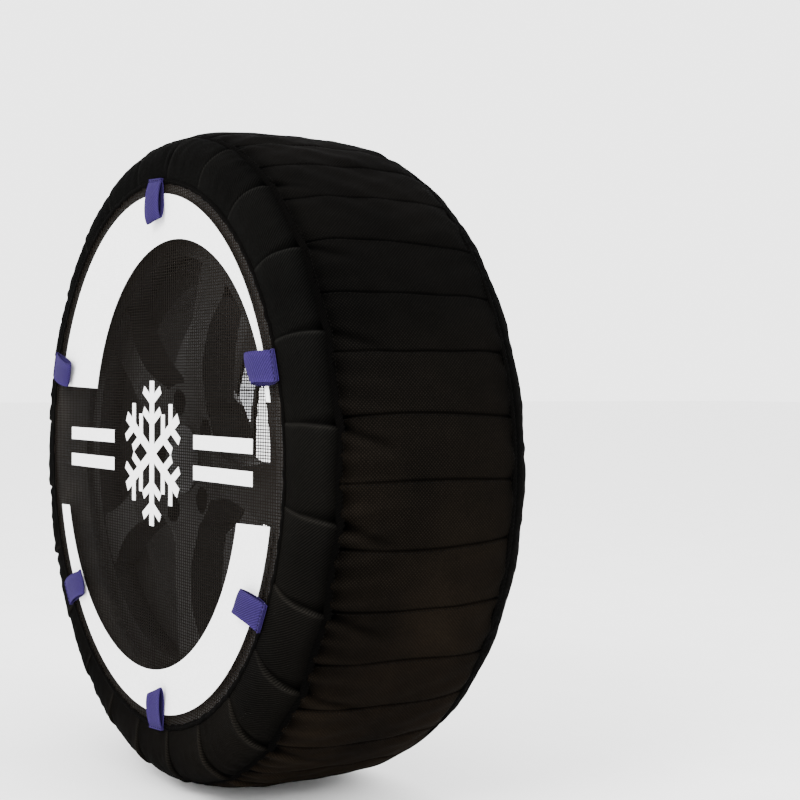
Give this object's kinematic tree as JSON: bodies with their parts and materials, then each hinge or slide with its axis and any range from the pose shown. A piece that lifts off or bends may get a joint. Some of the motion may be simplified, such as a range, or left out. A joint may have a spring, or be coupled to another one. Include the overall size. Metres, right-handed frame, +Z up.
{
  "type": "textile snow sock on a car wheel",
  "caption": "Textile snow sock stretched over a car tyre and its alloy wheel: black traction tread, pleated side, mesh face with a white print, and purple pull tabs.",
  "frame": {"origin": "centre of the wheel's hub mounting face, on the axle", "axes": "+Y inboard along the axle, +Z up, the printed mesh face looks towards -Y"},
  "size_m": [0.6399, 0.2411, 0.6398],
  "materials": {
    "tyre": "matt black vulcanised rubber",
    "ply": "rubbered polyester cord",
    "liner": "smooth butyl rubber",
    "bead_wire": "drawn steel wire",
    "alloy": "silver painted cast alloy",
    "black_plastic": "matt black moulding",
    "zinc": "zinc plated steel",
    "valve_rubber": "black rubber",
    "brass": "turned brass",
    "tread_fabric": "black herringbone traction textile",
    "side_fabric": "black woven polyester",
    "seam_tape": "black woven tape",
    "mesh": "open dark net",
    "elastic": "braided elastic cord",
    "white_print": "matt white screen print",
    "webbing": "purple twill webbing"
  },
  "bodies": {
    "wheel": {"tyre_tread": "tyre", "tyre_sidewall_outer": "tyre", "tyre_sidewall_inner": "tyre", "carcass_ply": "ply", "inner_liner": "liner", "steel_belts": "bead_wire", "bead_core_outer": "bead_wire", "bead_core_inner": "bead_wire", "rim_barrel": "alloy", "wheel_centre": "alloy", "centre_cap": "black_plastic", "balance_weights_outer": "zinc", "balance_weights_inner": "zinc", "valve_rubber": "valve_rubber", "valve_tube": "brass", "valve_core": "brass"},
    "sock": {"tread_fabric": "tread_fabric", "outer_side_fabric": "side_fabric", "inner_side_fabric": "side_fabric", "outer_shoulder_seam": "seam_tape", "inner_shoulder_seam": "seam_tape", "mesh_face": "mesh", "face_binding": "seam_tape", "hem_casing": "side_fabric", "hem_elastic": "elastic", "print_upper_arc": "white_print", "print_lower_arc": "white_print", "print_motif": "white_print"},
    "valve_pin": {"valve_pin": "brass"},
    "valve_cap_seal": {"valve_cap_seal": "valve_rubber"},
    "valve_cap": {"valve_cap": "black_plastic"},
    "pull_tab_1": {"pull_tab_1": "webbing"},
    "pull_tab_2": {"pull_tab_2": "webbing"},
    "pull_tab_3": {"pull_tab_3": "webbing"},
    "pull_tab_4": {"pull_tab_4": "webbing"},
    "pull_tab_5": {"pull_tab_5": "webbing"},
    "pull_tab_6": {"pull_tab_6": "webbing"}
  },
  "joints": [
    {"name": "sock_creep", "type": "hinge", "parent": "wheel", "child": "sock", "pos_m": [0, 0.045, 0], "axis": [0, 1, 0], "continuous": true},
    {"name": "tab_1_lift", "type": "hinge", "parent": "sock", "child": "pull_tab_1", "pos_m": [0.01387, -0.0757, 0.27064], "axis": [-0.9986, 0, 0.0523], "range_deg": [0, 150], "stiffness_Nm_per_rad": 0.004, "springref_deg": -28.65},
    {"name": "tab_2_lift", "type": "hinge", "parent": "sock", "child": "pull_tab_2", "pos_m": [0.24902, -0.0757, 0.09663], "axis": [-0.342, 0, 0.9397], "range_deg": [0, 150], "stiffness_Nm_per_rad": 0.004, "springref_deg": -28.65},
    {"name": "tab_3_lift", "type": "hinge", "parent": "sock", "child": "pull_tab_3", "pos_m": [0.23177, -0.0757, -0.12248], "axis": [0.4848, 0, 0.8746], "range_deg": [0, 150], "stiffness_Nm_per_rad": 0.004, "springref_deg": -28.65},
    {"name": "tab_4_lift", "type": "hinge", "parent": "sock", "child": "pull_tab_4", "pos_m": [0.01849, -0.0757, -0.25835], "axis": [0.9976, 0, 0.0698], "range_deg": [0, 150], "stiffness_Nm_per_rad": 0.004, "springref_deg": -28.65},
    {"name": "tab_5_lift", "type": "hinge", "parent": "sock", "child": "pull_tab_5", "pos_m": [-0.21707, -0.0757, -0.146], "axis": [0.5736, 0, -0.8192], "range_deg": [0, 150], "stiffness_Nm_per_rad": 0.004, "springref_deg": -28.65},
    {"name": "tab_6_lift", "type": "hinge", "parent": "sock", "child": "pull_tab_6", "pos_m": [-0.25056, -0.0757, 0.09228], "axis": [-0.3256, 0, -0.9455], "range_deg": [0, 150], "stiffness_Nm_per_rad": 0.004, "springref_deg": -28.65},
    {"name": "valve_pin_press", "type": "slide", "parent": "wheel", "child": "valve_pin", "axis": [0, 1, 0], "range_m": [0, 0.0012], "stiffness_N_per_m": 150, "springref_m": -0.002},
    {"name": "valve_cap_lift", "type": "slide", "parent": "wheel", "child": "valve_cap_seal", "axis": [0, -1, 0], "range_m": [0, 0.00476]},
    {"name": "valve_cap_turn", "type": "hinge", "parent": "valve_cap_seal", "child": "valve_cap", "pos_m": [0.16443, -0.045, 0.09114], "axis": [0, -1, 0], "range_deg": [0, 2160]}
  ],
  "couplings": [
    {"joint": "valve_cap_turn", "follows": "valve_cap_lift", "rad_per_m": 7913.3}
  ]
}
